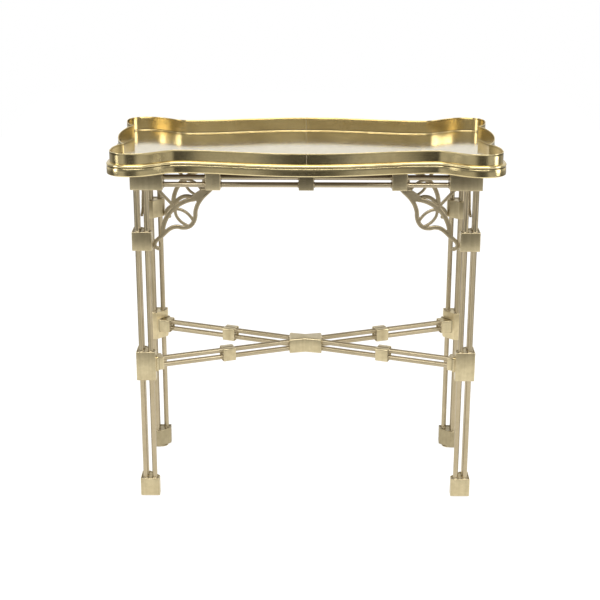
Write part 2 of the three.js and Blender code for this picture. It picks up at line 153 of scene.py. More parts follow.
def brass(
    name, dark, mid, light,
    rough=0.30, stretch=(1, 1, 40), turn=0.0, grain=900, tarnish=0.16, sway=0.08, relief=1.0,
):
    """Antiqued brass: faint clouding, brushing along one direction, small pits, brighter worn edges, and
    painted shade with some tarnish darkening inner corners.
    """
    t = Tree(name)
    cloud = t.noise(16, 3, distortion=0.4)
    mottle = t.noise(110, 5, rough=0.55)
    speck = t.noise(620, 3)
    brush = t.noise(grain, 4, stretch=stretch, turn=turn, rough=0.6)
    streak = t.noise(grain * 0.16, 3, stretch=stretch, turn=turn)
    body = t.mix(t.ramp(cloud, [(0.30, 0.0), (0.74, 1.0)]), mid, light)
    spots = t.ramp(mottle, [(0.34, 1.0), (0.66, 0.0)])
    body = t.mix(t.maths("MULTIPLY", spots, tarnish), body, dark)
    body = t.mix(t.maths("MULTIPLY", t.ramp(streak, [(0.38, 0.0), (0.64, 1.0)]), tarnish), body, dark)
    fine = t.ramp(brush, [(0.30, 0.0), (0.70, 1.0)])
    body = t.mix(t.maths("MULTIPLY", fine, 0.16), body, light)
    pits = t.ramp(speck, [(0.28, 1.0), (0.35, 0.0)])
    body = t.mix(t.maths("MULTIPLY", pits, 0.25 * relief), body, dark)
    worn = t.node("ShaderNodeAttribute", attribute_name="wear").outputs["Fac"]
    edge = t.maths("MULTIPLY", worn, t.ramp(mottle, [(0.32, 0.45), (0.60, 1.0)]))
    body = t.mix(t.maths("MULTIPLY", edge, 0.55), body, tuple(min(1.0, c * 1.15 + 0.03) for c in light))
    # inner corners and creases turn much darker: painted shade, with some tarnish in the hollows
    shade_and_tarnish = t.node("ShaderNodeAttribute", attribute_name="shade_and_tarnish").outputs["Fac"]
    body = t.mix(t.maths("MULTIPLY", shade_and_tarnish, 0.85), body, tuple(c * 0.35 for c in dark))
    t.link(body, t.shader.inputs["Base Color"])
    t.shader.inputs["Metallic"].default_value = 1.0
    level = t.maths("MULTIPLY_ADD", spots, 0.05, rough)
    level = t.maths("MULTIPLY_ADD", fine, 0.05, level)
    level = t.maths("MULTIPLY_ADD", cloud, 0.04, level)
    level = t.maths("MULTIPLY_ADD", edge, -0.06, level)
    t.link(level, t.shader.inputs["Roughness"])
    lower = t.bump(t.noise(26, 2), sway, 0.0012)
    middle = t.bump(mottle, 0.07 * relief, 0.0002, lower)
    t.link(t.bump(brush, 0.22 * relief, 0.00005, middle), t.shader.inputs["Normal"])
    return t.material


def wood(name):
    """Dark stained board, its grain along X."""
    t = Tree(name)
    rings = t.noise(70, 5, stretch=(14, 1, 1), distortion=0.8)
    pores = t.noise(900, 2, stretch=(22, 1, 1))
    body = t.mix(t.ramp(rings, [(0.35, 0.0), (0.65, 1.0)]), (0.060, 0.036, 0.020), (0.150, 0.092, 0.050))
    holes = t.ramp(pores, [(0.36, 1.0), (0.44, 0.0)])
    body = t.mix(t.maths("MULTIPLY", holes, 0.6), body, (0.022, 0.014, 0.009))
    t.link(body, t.shader.inputs["Base Color"])
    t.link(t.maths("MULTIPLY_ADD", rings, 0.2, 0.45), t.shader.inputs["Roughness"])
    t.link(t.bump(pores, 0.35, 0.0003), t.shader.inputs["Normal"])
    return t.material


def toned(colours, factor):
    """The same three colours, all lighter or darker, for the painted-light and painted-shade copies of a
    material.
    """
    return {key: tuple(c * factor for c in value) for key, value in colours.items()}


LEG = dict(dark=(0.18, 0.140, 0.075), mid=(0.40, 0.33, 0.205), light=(0.49, 0.41, 0.27))
BLOCK = dict(dark=(0.20, 0.158, 0.085), mid=(0.52, 0.43, 0.255), light=(0.61, 0.52, 0.32))
TRAY = dict(dark=(0.22, 0.160, 0.065), mid=(0.58, 0.460, 0.225), light=(0.70, 0.585, 0.32))
DRAWN = dict(sway=0.0, relief=0.2)
rod_upright = brass("rod_upright", **LEG, **DRAWN, rough=0.26, stretch=(1, 1, 60), tarnish=0.05)
rod_across = brass("rod_across", **LEG, **DRAWN, rough=0.32, stretch=(60, 1, 1), tarnish=0.04)
rod_deep = brass("rod_deep", **LEG, **DRAWN, rough=0.24, stretch=(1, 60, 1), tarnish=0.08)
BRUSHED = dict(rough=0.28, stretch=(1, 1, 30), grain=1100, tarnish=0.18, relief=0.6)
block_metal = brass("block_metal", **BLOCK, **BRUSHED)
# lighter and darker copies of the block brass: painted light and painted shade for parts that come out
# brighter or darker in the light
block_painted_lit = brass("block_painted_lit", **toned(BLOCK, 1.22), **BRUSHED)
block_painted_shaded = brass("block_painted_shaded", **toned(BLOCK, 0.72), **BRUSHED)
cast_metal = brass("cast_metal", **LEG, rough=0.36, stretch=(3, 1, 3), grain=700, tarnish=0.25, sway=0.15)
POLISHED = dict(rough=0.15, stretch=(40, 40, 1), relief=0.25)
gallery_metal = brass("gallery_metal", **TRAY, **POLISHED, grain=1300, tarnish=0.07, sway=0.06)
band_metal = brass("band_metal", **TRAY, **POLISHED, grain=1100, tarnish=0.08, sway=0.05)
floor_metal = brass(
    "floor_metal", dark=(0.42, 0.34, 0.20), mid=(0.76, 0.68, 0.50), light=(0.82, 0.75, 0.58),
    rough=0.05, stretch=(46, 1, 46), grain=900, tarnish=0.08, sway=0.02,
)
glide_metal = brass("glide_metal", **BLOCK, rough=0.42, stretch=(1, 1, 1), tarnish=0.4)
solder_metal = brass("solder_metal", **LEG, rough=0.30, stretch=(1, 1, 1), grain=400, tarnish=0.4)
board_wood = wood("board_wood")


# ---- mesh making ---------------------------------------------------------------------------------


class Piece:
    """Gathers closed bodies, in millimetres, into one object."""

    def __init__(self):
        self.verts = []
        self.faces = []

    def add(self, verts, faces):
        start = len(self.verts)
        self.verts += [tuple(v) for v in verts]
        self.faces += [tuple(start + i for i in f) for f in faces]
        return self

    def loft(self, rings):
        """Closed body through equal rings of points, with a flat face over the first and the last."""
        count = len(rings[0])
        verts = [p for ring in rings for p in ring]
        faces = []
        for i in range(len(rings) - 1):
            for j in range(count):
                k = (j + 1) % count
                faces.append((i * count + j, i * count + k, (i + 1) * count + k, (i + 1) * count + j))
        last = (len(rings) - 1) * count
        faces.append(tuple(range(count - 1, -1, -1)))
        faces.append(tuple(last + j for j in range(count)))
        return self.add(verts, faces)

    def moved(self, matrix):
        self.verts = [tuple(matrix @ Vector(v)) for v in self.verts]
        return self


def wear_and_shade_of(bm):
    """Marks how sharply the surface turns at each point: wear on outer edges, painted shade with some tarnish
    in inner corners.
    """
    wear = bm.verts.layers.float.new("wear")
    shade_and_tarnish = bm.verts.layers.float.new("shade_and_tarnish")
    for v in bm.verts:
        turns = [e.calc_face_angle_signed(0.0) for e in v.link_edges if len(e.link_faces) == 2]
        v[wear] = min(1.0, max(0.0, (max(turns, default=0.0) - 0.12) / 0.5))
        # painted shade with some tarnish, stronger the more sharply the surface folds inwards
        v[shade_and_tarnish] = min(1.0, max(0.0, (-min(turns, default=0.0) - 0.16) / 0.35))


def finish_mesh(mesh, angle=40, worn_and_shaded=True):
    """Turns the faces outwards, marks wear and the painted shade of inner corners, and shades smoothly up to
    an angle in degrees.
    """
    bm = bmesh.new()
    bm.from_mesh(mesh)
    bmesh.ops.recalc_face_normals(bm, faces=bm.faces)
    for face in bm.faces:
        face.smooth = True
    if worn_and_shaded:
        wear_and_shade_of(bm)
    bm.to_mesh(mesh)
    bm.free()
    mesh.set_sharp_from_angle(angle=math.radians(angle))


def mesh_of(name, piece):
    """A piece's bodies as one mesh in metres."""
    mesh = bpy.data.meshes.new(name)
    mesh.from_pydata([tuple(c * MM for c in v) for v in piece.verts], [], piece.faces)
    return mesh


def show(name, mesh, material, body, nodes):
    """Places a finished mesh, gives it its material, hangs it on the body it rides on and hides the nodes it
    stands for.
    """
    obj = bpy.data.objects.new(name, mesh)
    bpy.context.scene.collection.objects.link(obj)
    mesh.materials.append(material)
    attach(obj, body)
    if nodes:
        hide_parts(*nodes)
    return obj


def put(name, piece, material, slot, body, *nodes, angle=40, worn_and_shaded=True):
    mesh = mesh_of(name, piece)
    finish_mesh(mesh, angle, worn_and_shaded)
    return show(name, mesh, material, body, nodes)


def put_block(name, piece, metal, *nodes):
    return put(name, piece, metal, "block_brass", "stand", *nodes)


def put_rod(name, piece, metal, node):
    return put(name, piece, metal, "rod_brass", "stand", node)


def inset(poly, d):
    """A polygon, listed anticlockwise, with every side moved inwards by d."""
    out = []
    for i, here in enumerate(poly):
        a = (here - poly[i - 1]).normalized()
        b = (poly[(i + 1) % len(poly)] - here).normalized()
        na, nb = Vector((-a.y, a.x)), Vector((-b.y, b.x))
        out.append(here + (na + nb) * (d / (1 + na.dot(nb))))
    return out


def rounded(poly, radius, steps=5):
    """A polygon with each corner eased by a short curve."""
    out = []
    for i, here in enumerate(poly):
        back = (poly[i - 1] - here).normalized()
        on = (poly[(i + 1) % len(poly)] - here).normalized()
        half = math.acos(max(-1.0, min(1.0, back.dot(on)))) / 2
        reach = radius / math.tan(half)
        start, end = here + back * reach, here + on * reach
        for s in range(steps + 1):
            t = s / steps
            out.append(start * (1 - t) ** 2 + here * (2 * t * (1 - t)) + end * t * t)
    return out


def anticlockwise(points):
    poly = [Vector(p) for p in points]
    area = sum(a.x * b.y - a.y * b.x for a, b in zip(poly, poly[1:] + poly[:1]))
    return poly if area > 0 else poly[::-1]


def stack(piece, points, profile, radius=1.6):
    """Closed body over an outline: profile lists (inset, height) from the first cap to the last."""
    poly = anticlockwise(points)
    rings = []
    for d, z in profile:
        line = rounded(inset(poly, d), max(radius - 0.4 * d, 0.5))
        rings.append([(p.x, p.y, z) for p in line])
    return piece.loft(rings)


def turned(piece, start, along, profile, segments=28):
    """A round bar: profile lists (distance along, radius)."""
    start, along = Vector(start), Vector(along).normalized()
    side = along.orthogonal().normalized()
    other = along.cross(side)
    rings = []
    for t, r in profile:
        ring = []
        for k in range(segments):
            a = 2 * math.pi * k / segments
            ring.append(start + along * t + (side * math.cos(a) + other * math.sin(a)) * r)
        rings.append(ring)
    return piece.loft(rings)


FILLET = ((0.0, 2.4), (0.3, 1.7), (0.8, 1.0), (1.5, 0.45), (2.4, 0.12), (3.4, 0.0))


def rod_profile(length, radius, plates):
    """Profile of a rod with a small braze fillet where it leaves each plate: plates lists (distance, way)."""
    out = [(0.0, radius - 0.6), (0.5, radius)]
    for place, way in sorted(plates, key=lambda p: p[0]):
        points = [(place + way * t, radius + swell) for t, swell in FILLET]
        out += points if way > 0 else points[::-1]
    out += [(length - 0.5, radius), (length, radius - 0.6)]
    return out


def edge_up(z, deep=1.2):
    """Rounded lower edge of a block, from its flat foot out to its side."""
    return [(deep, z), (deep * 0.45, z + deep * 0.12), (deep * 0.12, z + deep * 0.45), (0, z + deep)]


def edge_down(z, deep=1.2):
    """Rounded upper edge of a block, from its side in to its flat top."""
    return [(0, z - deep), (deep * 0.12, z - deep * 0.45), (deep * 0.45, z - deep * 0.12), (deep, z)]


RECESS = 1.5  # the plate that closes a block sits this far inside its rim


def cup_up(z):
    """Top of a block: over the raised rim and on to the plate inside."""
    return [
        (0, z - 1.1), (0.12, z - 0.5), (0.4, z - 0.12), (0.85, z), (1.3, z - 0.1), (1.75, z - 0.5),
        (1.9, z - 1.0), (2.3, z - RECESS + 0.12), (3.2, z - RECESS),
    ]


def cup_down(z):
    """Underside of a block: the same rim and plate, looking down."""
    return [(d, 2 * z - h) for d, h in cup_up(z)][::-1]


# ---- stand ---------------------------------------------------------------------------------------

foot_lo, foot_hi = size_of("foot_front_left")
BLOCK_HALF = (foot_hi.x - foot_lo.x) / 2
LEG_X = -(foot_lo.x + foot_hi.x) / 2
LEG_Y = -(foot_lo.y + foot_hi.y) / 2
rod_lo, rod_hi = size_of("leg_rod_front_left_outer")
ROD_R = (rod_hi.x - rod_lo.x) / 2
ROD_OFFSET = -(rod_lo.x + rod_hi.x) / 2 - LEG_X
CHAMFER = 22.0  # cut off the inner corner of every block
cap_lo, cap_hi = size_of("cap_front_left")
ARM = (cap_hi.x - cap_lo.x) - 2 * BLOCK_HALF  # how far a cap reaches along each rail
tie_lo, tie_hi = size_of("tie_block_front_left")
col_lo, col_hi = size_of("collar_front_left")


def block_points(sx, sy):
    """Plan of a leg's blocks, with the corner that faces the middle of the table cut away."""
    h, c = BLOCK_HALF, CHAMFER
    corners = [(h, h), (-h, h), (-h, -h + c), (-h + c, -h), (h, -h)]
    return [(sx * (LEG_X + u), sy * (LEG_Y + v)) for u, v in corners]


def rect(x0, x1, y0, y1):
    return [(x0, y0), (x1, y0), (x1, y1), (x0, y1)]


TIE_ANGLE = math.atan2(LEG_Y, LEG_X)
TIE_LENGTH = math.hypot(LEG_X, LEG_Y)
arm_lo, arm_hi = size_of("stretcher_front_left")
TIE_Z = (arm_lo.z + arm_hi.z) / 2
TIE_SLEEVE = arm_hi.z - arm_lo.z
TIE_ROD_Z = 7.3  # each stretcher rod's height above or below the arm's middle
TIE_CORNER = 3.5
TIE_REACH = 13.25  # half the length of a stretcher sleeve
BOSS_END = TIE_LENGTH - 32.0
TIE_LIP = 2.2  # from the end of a sleeve or boss to the plate inside it
knuckle_lo, knuckle_hi = size_of("stretcher_knuckle")


def arm_angle(sx, sy):
    return math.atan2(sy * math.sin(TIE_ANGLE), sx * math.cos(TIE_ANGLE))


def arm_matrix(sx, sy):
    """Turns a body drawn along +X into the stretcher arm that runs to one leg."""
    return Matrix.Translation((0, 0, TIE_Z)) @ Matrix.Rotation(arm_angle(sx, sy), 4, "Z")


def square_ring(x, d, half, radius):
    """Rounded square across the arm at x, made smaller by d."""
    poly = inset([Vector(p) for p in rect(-half, half, -half, half)], d)
    return [(x, p.x, p.y) for p in rounded(poly, max(radius - 0.5 * d, 0.6), 6)]


# mouth of a sleeve or boss, from the plate inside over the lip to its side: (in from the end, inset)
MOUTH = [(TIE_LIP, 3.6), (2.4, 2.2), (0.5, 1.6), (0.1, 1.1), (0.0, 0.7), (0.25, 0.25), (0.9, 0.0)]


def tie_sleeve():
    """Square sleeve half-way along an arm."""
    middle, half = TIE_LENGTH / 2, TIE_SLEEVE / 2
    left = [(middle - TIE_REACH + x, d) for x, d in MOUTH]
    right = [(middle + TIE_REACH - x, d) for x, d in MOUTH[::-1]]
    return Piece().loft([square_ring(x, d, half, TIE_CORNER) for x, d in left + right])


def boss(sx, sy):
    """Socket that leaves the cut-away face of the leg block, with a soldered root."""
    half = TIE_SLEEVE / 2
    root = (2 * BLOCK_HALF - CHAMFER) / (math.cos(TIE_ANGLE) + math.sin(TIE_ANGLE))
    slope = (math.cos(TIE_ANGLE) - math.sin(TIE_ANGLE)) / (math.cos(TIE_ANGLE) + math.sin(TIE_ANGLE))
    rings = []
    for off, out in ((-6.0, 0.0), (-0.4, -2.3), (0.15, -1.3), (0.8, -0.55), (1.9, -0.12), (3.2, 0.0)):
        ring = []
        for _, w, h in square_ring(0, out, half, TIE_CORNER):
            ring.append((TIE_LENGTH - root - w * slope * sx * sy - off, w, h))
        rings.append(ring)
    for x, d in MOUTH[::-1]:
        rings.append(square_ring(BOSS_END + x, d, half, TIE_CORNER))
    return Piece().loft(rings).moved(arm_matrix(sx, sy))


def corner_name(sx, sy):
    """Name of one corner of the table, such as front_left."""
    return ("front" if sy < 0 else "back") + "_" + ("left" if sx < 0 else "right")


def rail_box(points):
    """Block over an outline, as tall as the caps, with its edges eased."""
    return stack(Piece(), points, edge_up(cap_lo.z, 1.4) + edge_down(cap_hi.z, 1.0), 1.3)


def make_glide(corner, x, y):
    """Turned disc under a foot, its neck running just into the foot."""
    top = size_of("glide_" + corner)[1].z
    disc = [
        (0.0, 11.6), (0.3, 12.3), (0.9, 12.9), (1.9, 13.0), (2.3, 12.7), (top, 12.0), (foot_lo.z + 0.2, 9.0),
    ]
    piece = turned(Piece(), (x, y, 0), (0, 0, 1), disc, 48)
    put("glide_" + corner, piece, glide_metal, "glide_metal", "stand", "glide_" + corner)


def make_leg_blocks(corner, sx, sy):
    """Foot, collar, and the tall block with its boss for the stretcher."""
    plan = block_points(sx, sy)
    foot = stack(Piece(), plan, edge_up(foot_lo.z, 1.5) + cup_up(foot_hi.z))
    # the back feet take the darker copy, as painted shade
    put_block("foot_" + corner, foot, block_painted_shaded if sy > 0 else block_metal, "foot_" + corner)
    collar = stack(Piece(), plan, cup_down(col_lo.z) + cup_up(col_hi.z))
    put_block("collar_" + corner, collar, block_metal, "collar_" + corner)
    tall = stack(Piece(), plan, cup_down(tie_lo.z) + cup_up(tie_hi.z))
    # the back tall blocks take the lighter copy, as painted light
    put_block("tie_block_" + corner, tall, block_painted_lit if sy > 0 else block_metal, "tie_block_" + corner)
    put_block("tie_boss_" + corner, boss(sx, sy), block_metal)


def make_cap(corner, sx, sy):
    """L-shaped cap, one arm of it over each rail."""
    h, arm = BLOCK_HALF, BLOCK_HALF + ARM
    corners = [(h, h), (-arm, h), (-arm, -h), (-h, -h), (-h, -arm), (h, -arm)]
    elbow = [(sx * (LEG_X + u), sy * (LEG_Y + v)) for u, v in corners]
    put_block("cap_" + corner, rail_box(elbow), block_metal, "cap_" + corner)


def make_leg_rods(corner, sx, sy):
    """Three rods in an L, with a fillet of braze wherever they enter a block."""
    start = rod_lo.z
    plates = [
        (foot_hi.z - RECESS, 1), (tie_lo.z + RECESS, -1), (tie_hi.z - RECESS, 1),
        (col_lo.z + RECESS, -1), (col_hi.z - RECESS, 1), (cap_lo.z, -1),
    ]
    profile = rod_profile(rod_hi.z - start, ROD_R, [(z - start, way) for z, way in plates])
    for name, u, v in (("outer", 1, 1), ("side", 1, -1), ("face", -1, 1)):
        at = (sx * (LEG_X + u * ROD_OFFSET), sy * (LEG_Y + v * ROD_OFFSET), start)
        node = "leg_rod_" + corner + "_" + name
        put_rod(node, turned(Piece(), at, (0, 0, 1), profile), rod_upright, node)


for sy in SIDES:
    for sx in SIDES:
        corner = corner_name(sx, sy)
        make_glide(corner, sx * LEG_X, sy * LEG_Y)
        make_leg_blocks(corner, sx, sy)
        make_cap(corner, sx, sy)
        make_leg_rods(corner, sx, sy)


# ---- rails ---------------------------------------------------------------------------------------

RAIL_Z = cap_lo.z + 14.5
RAIL_ROD_Z = 7.4  # each rail rod's height above or below the rail's middle
rail_lo, rail_hi = size_of("rail_front")
side_lo, side_hi = size_of("rail_left")
SLEEVE_X, SLEEVE_W = 179.5, 29.0
SIDE_SLEEVE_Y, SIDE_SLEEVE_W = 47.0, 20.0


def rail_plates(reach, middles, width):
    """Where a rail's rods leave its caps and sleeves, measured from the rail's middle, and which way."""
    plates = [(-reach, 1), (reach, -1)]
    for middle in middles:
        plates += [(middle - width / 2, -1), (middle + width / 2, 1)]
    return plates


def rail_rods(side, x, y, along, profile, metal):
    for level, name in ((1, "upper"), (-1, "lower")):
        at = (x, y, RAIL_Z + level * RAIL_ROD_Z)
        put_rod("rail_rod_" + side + "_" + name, turned(Piece(), at, along, profile), metal, "rail_" + side)


def make_long_rail(side, y):
    """Front or back rail: two rods and three sleeves."""
    plates = rail_plates(LEG_X - BLOCK_HALF - ARM, (-SLEEVE_X, 0.0, SLEEVE_X), SLEEVE_W)
    profile = rod_profile(rail_hi.x - rail_lo.x, ROD_R, [(p - rail_lo.x, way) for p, way in plates])
    rail_rods(side, rail_lo.x, y, (1, 0, 0), profile, rod_across)
    half = SLEEVE_W / 2
    # the left sleeve takes the lighter copy as painted light, the middle one the darker copy as painted shade
    for x, name, metal in (
        (-SLEEVE_X, "left", block_painted_lit), (0.0, "middle", block_painted_shaded), (SLEEVE_X, "right", block_metal),
    ):
        node = "rail_sleeve_" + side if name == "middle" else "rail_" + side
        sleeve = rail_box(rect(x - half, x + half, y - BLOCK_HALF, y + BLOCK_HALF))
        put_block("rail_block_" + side + "_" + name, sleeve, metal, node)


def make_end_rail(side, x):
    """Left or right rail: two rods and two narrow sleeves."""
    plates = rail_plates(LEG_Y - BLOCK_HALF - ARM, (-SIDE_SLEEVE_Y, SIDE_SLEEVE_Y), SIDE_SLEEVE_W)
    profile = rod_profile(side_hi.y - side_lo.y, ROD_R, [(p - side_lo.y, way) for p, way in plates])
    rail_rods(side, x, side_lo.y, (0, 1, 0), profile, rod_deep)
    half = SIDE_SLEEVE_W / 2
    for y, name in ((-SIDE_SLEEVE_Y, "front"), (SIDE_SLEEVE_Y, "back")):
        sleeve = rail_box(rect(x - BLOCK_HALF, x + BLOCK_HALF, y - half, y + half))
        put_block("rail_block_" + side + "_" + name, sleeve, block_metal, "rail_" + side)


make_long_rail("front", -LEG_Y)
make_long_rail("back", LEG_Y)
make_end_rail("left", -LEG_X)
make_end_rail("right", LEG_X)


# ---- stretcher -----------------------------------------------------------------------------------

KNUCKLE_HALF, KNUCKLE_END, KNUCKLE_WAIST = 33.5, 22.5, 14.5
KNUCKLE_FACE = KNUCKLE_HALF / math.cos(TIE_ANGLE)
ROD_HIDDEN = 12.0  # how far an arm's rods run on inside the knuckle and the boss
FACE_LIP = 1.2


def make_arm(sx, sy):
    """Two rods from the knuckle to a leg, and the sleeve round them."""
    corner = corner_name(sx, sy)
    metal = brass(
        "rod_tie_" + corner, **LEG, rough=0.36, stretch=(60, 1, 1), turn=arm_angle(sx, sy), grain=500,
        tarnish=0.03, sway=0.0, relief=0.0,
    )
    start, end = KNUCKLE_FACE - ROD_HIDDEN, BOSS_END + ROD_HIDDEN
    middle, plate = TIE_LENGTH / 2, TIE_REACH - TIE_LIP
    plates = [
        (KNUCKLE_FACE - FACE_LIP, 1), (middle - plate, -1), (middle + plate, 1), (BOSS_END + TIE_LIP, -1),
    ]
    profile = rod_profile(end - start, ROD_R, [(p - start, way) for p, way in plates])
    matrix = arm_matrix(sx, sy)
    for level, name in ((1, "upper"), (-1, "lower")):
        rod = turned(Piece(), (start, 0, level * TIE_ROD_Z), (1, 0, 0), profile).moved(matrix)
        put_rod("tie_rod_" + corner + "_" + name, rod, metal, "stretcher_" + corner)
    put_block("tie_sleeve_" + corner, tie_sleeve().moved(matrix), block_metal, "stretcher_" + corner)


def make_knuckle():
    """Block where the arms meet, narrower at its middle than at its ends."""
    right = [(KNUCKLE_HALF, -KNUCKLE_END), (KNUCKLE_HALF, KNUCKLE_END), (0, KNUCKLE_WAIST)]
    bow = right + [(-x, -y) for x, y in right]
    knuckle = stack(Piece(), bow, edge_up(knuckle_lo.z, 2.4) + edge_down(knuckle_hi.z, 3.2), 2.2)
    put_block("tie_knuckle", knuckle, block_metal, "stretcher_knuckle")


for sy in SIDES:
    for sx in SIDES:
        make_arm(sx, sy)
make_knuckle()


# ---- brackets ------------------------------------------------------------------------------------

# centre lines of the straps of a large bracket: (away from the leg, down from the underside of the cap)
OGEE = [
    (120, -3), (111.4, 6), (100.8, 16.2), (94.4, 24.2), (88.8, 33.9), (85, 46), (84.3, 56), (82, 65),
    (77.8, 72.2), (72.5, 76.8), (65, 79.2), (57, 79.2), (49.7, 77.6), (41, 78.6), (33.2, 82.4), (25.8, 88.7),
    (19, 95.5),
]
TAIL = [(19, 95.5), (12, 101.5), (6.5, 106.5), (3.7, 113), (5, 119), (10, 121.5)]
SIDE_TAIL = [(19, 95.5), (8, 101.5), (-6, 109), (-21, 115.5)]
LEAF_UPPER = [(45, 41.5), (57, 43.5), (68.5, 50.2), (77, 60), (81.5, 68)]
LEAF_LOWER = [(45, 41.5), (46.8, 54), (53, 64.3), (62, 71.8), (71, 76.5)]
SPOKE = [(9.5, -1), (22, 13), (35, 27.5), (47.5, 41.5)]
WEB = [(76, 19), (86, 9), (97, 2), (118, 1), (108, 10), (99, 20), (92.5, 30), (86.5, 26)]
ARC_CENTRE, ARC_R = (92.7, 94.6), 73.5
BRACKET_T = 5.0
BRACKET_GAP = 0.25  # between a bracket and the cap above it
SMALL = 0.5  # size of an end bracket beside a large one
SMALL_STRAPS = 0.7  # and how wide its straps are


def spline(points, count):
    """Smooth line through the points, Catmull-Rom."""
    pts = [Vector(p) for p in points]
    pts = [pts[0] * 2 - pts[1]] + pts + [pts[-1] * 2 - pts[-2]]
    out = []
    spans = len(pts) - 3
    for k in range(count + 1):
        t = min(k / count * spans, spans - 1e-6)
        i, f = int(t), t - int(t)
        a, b, c, d = pts[i : i + 4]
        square, cube = 2 * a - 5 * b + 4 * c - d, 3 * b - a - 3 * c + d
        out.append(0.5 * ((2 * b) + (c - a) * f + square * f * f + cube * f**3))
    return out


def strap(piece, points, width, thick, count, taper=(1.0, 1.0)):
    """Strap with a softly crowned face, swept along a flat line."""
    line = spline(points, count)
    section = []
    for k in range(16):
        a = 2 * math.pi * k / 16
        c, s = math.cos(a), math.sin(a)
        section.append((abs(c) ** 0.55 * math.copysign(0.5, c), abs(s) ** 0.6 * math.copysign(0.5, s)))
    rings = []
    for i, p in enumerate(line):
        t = (line[min(i + 1, count)] - line[max(i - 1, 0)]).normalized()
        w = width * (taper[0] + (taper[1] - taper[0]) * i / count)
        rings.append([(p.x - t.y * u * w, p.y + t.x * u * w, v * thick) for u, v in section])
    return piece.loft(rings)


def bracket_straps(scale, strength, tail, knob):
    """Overlapping straps, a web and, if asked, a round knob at the tail, all in one flat layer."""

    def sized(points):
        return [(a * scale, b * scale) for a, b in points]

    arc = []
    for angle in range(-178, -88, 9):
        a = math.radians(angle)
        arc.append((ARC_CENTRE[0] + ARC_R * math.cos(a), ARC_CENTRE[1] + ARC_R * math.sin(a)))
    piece = Piece()
    for line, width, thick, count, taper in (
        (arc, 9.4, 1.0, 60, (1.0, 1.0)),
        (OGEE, 8.6, 1.0, 110, (1.0, 1.0)),
        (tail, 8.6, 1.0, 40, (1.0, 0.8)),
        (LEAF_UPPER, 6.0, 0.86, 50, (1.0, 1.0)),
        (LEAF_LOWER, 6.0, 0.86, 50, (1.0, 1.0)),
        (SPOKE, 6.2, 0.94, 40, (1.0, 1.0)),
    ):
        strap(piece, sized(line), width * strength, BRACKET_T * thick, count, taper)
    half = BRACKET_T * 0.46
    stack(piece, sized(WEB), edge_up(-half, 0.8) + edge_down(half, 0.8), 1.2)
    if knob:
        profile = [(-2.3, 2.4), (-2.2, 3.4), (-1.4, 4.2), (0, 4.4), (1.4, 4.2), (2.2, 3.4), (2.3, 2.4)]
        turned(piece, (*tail[-1], 0), (0, 0, 1), profile, 24)
    return piece


def cast_in_one(name, piece, voxel):
    """Melts overlapping bodies into one cast skin and trims what would reach into the cap."""
    obj = bpy.data.objects.new(name, mesh_of(name, piece))
    bpy.context.scene.collection.objects.link(obj)
    join = obj.modifiers.new("join", "REMESH")
    join.mode = "VOXEL"
    join.voxel_size = voxel
    soft = obj.modifiers.new("soft", "SMOOTH")
    soft.factor = 0.6
    soft.iterations = 4
    thin = obj.modifiers.new("thin", "DECIMATE")
    thin.ratio = 0.30
    made = bpy.data.meshes.new_from_object(obj.evaluated_get(bpy.context.evaluated_depsgraph_get()))
    bpy.data.objects.remove(obj)
    bm = bmesh.new()
    bm.from_mesh(made)
    every = bm.verts[:] + bm.edges[:] + bm.faces[:]
    level = (0, BRACKET_GAP * MM, 0)
    cut = bmesh.ops.bisect_plane(bm, geom=every, plane_co=level, plane_no=(0, -1, 0), clear_outer=True)
    rim = [e for e in cut["geom_cut"] if isinstance(e, bmesh.types.BMEdge)]
    bmesh.ops.holes_fill(bm, edges=rim)
    bm.to_mesh(made)
    bm.free()
    return made


def place_bracket(source, name, origin, along):
    """Hangs a copy of a bracket from origin, reaching along the rail and down the leg."""
    a, b = Vector(along), Vector((0, 0, -1))
    matrix = Matrix((a, b, a.cross(b))).transposed().to_4x4()
    matrix.translation = Vector(origin) * MM
    mesh = source.copy()
    mesh.transform(matrix)
    finish_mesh(mesh, 60)
    return show(name, mesh, cast_metal, "stand", [name])


large = cast_in_one("large_bracket", bracket_straps(1.0, 1.0, TAIL, True), voxel=0.00052)
small = cast_in_one("small_bracket", bracket_straps(SMALL, SMALL_STRAPS, SIDE_TAIL, False), voxel=0.00042)
for sy in SIDES:
    for sx in SIDES:
        corner = corner_name(sx, sy)
        lo, hi = size_of("face_bracket_" + corner)
        origin = (sx * (LEG_X - BLOCK_HALF), (lo.y + hi.y) / 2, cap_lo.z)
        place_bracket(large, "face_bracket_" + corner, origin, (-sx, 0, 0))
        lo, hi = size_of("side_bracket_" + corner)
        origin = ((lo.x + hi.x) / 2, sy * (LEG_Y - BLOCK_HALF), cap_lo.z)
        place_bracket(small, "side_bracket_" + corner, origin, (0, -sy, 0))


# ---- tray ----------------------------------------------------------------------------------------

# back right quarter of the gallery's outside, as cubic curves: from the middle of the back round the ear
# to the notch, and from the notch to the middle of the end
LONG_SIDE = [
    [(0, 175), (105, 175), (165, 144), (245, 144)],
    [(245, 144), (277, 144), (294, 179.5), (336, 179.5)],
    [(336, 179.5), (359, 179.5), (374.6, 165), (374.6, 145)],
    [(374.6, 145), (374.6, 124), (372, 103), (356, 88)],
]
SHORT_SIDE = [[(356, 88), (367, 70), (374.6, 36), (374.6, 0)]]
TRAY_X, TRAY_Y = 375.0, 175.0  # half the gallery's length, and half its depth in the middle
SEAM_GAP = 0.12


def bezier_line(curves, steps=80):
    """Points along cubic curves that follow on from each other."""
    out = []
    for n, (a, b, c, d) in enumerate([[Vector(p) for p in curve] for curve in curves]):
        for k in range(0 if n == 0 else 1, steps + 1):
            t = k / steps
            s = 1 - t
            out.append(a * s**3 + b * (3 * s * s * t) + c * (3 * s * t * t) + d * t**3)
    return out


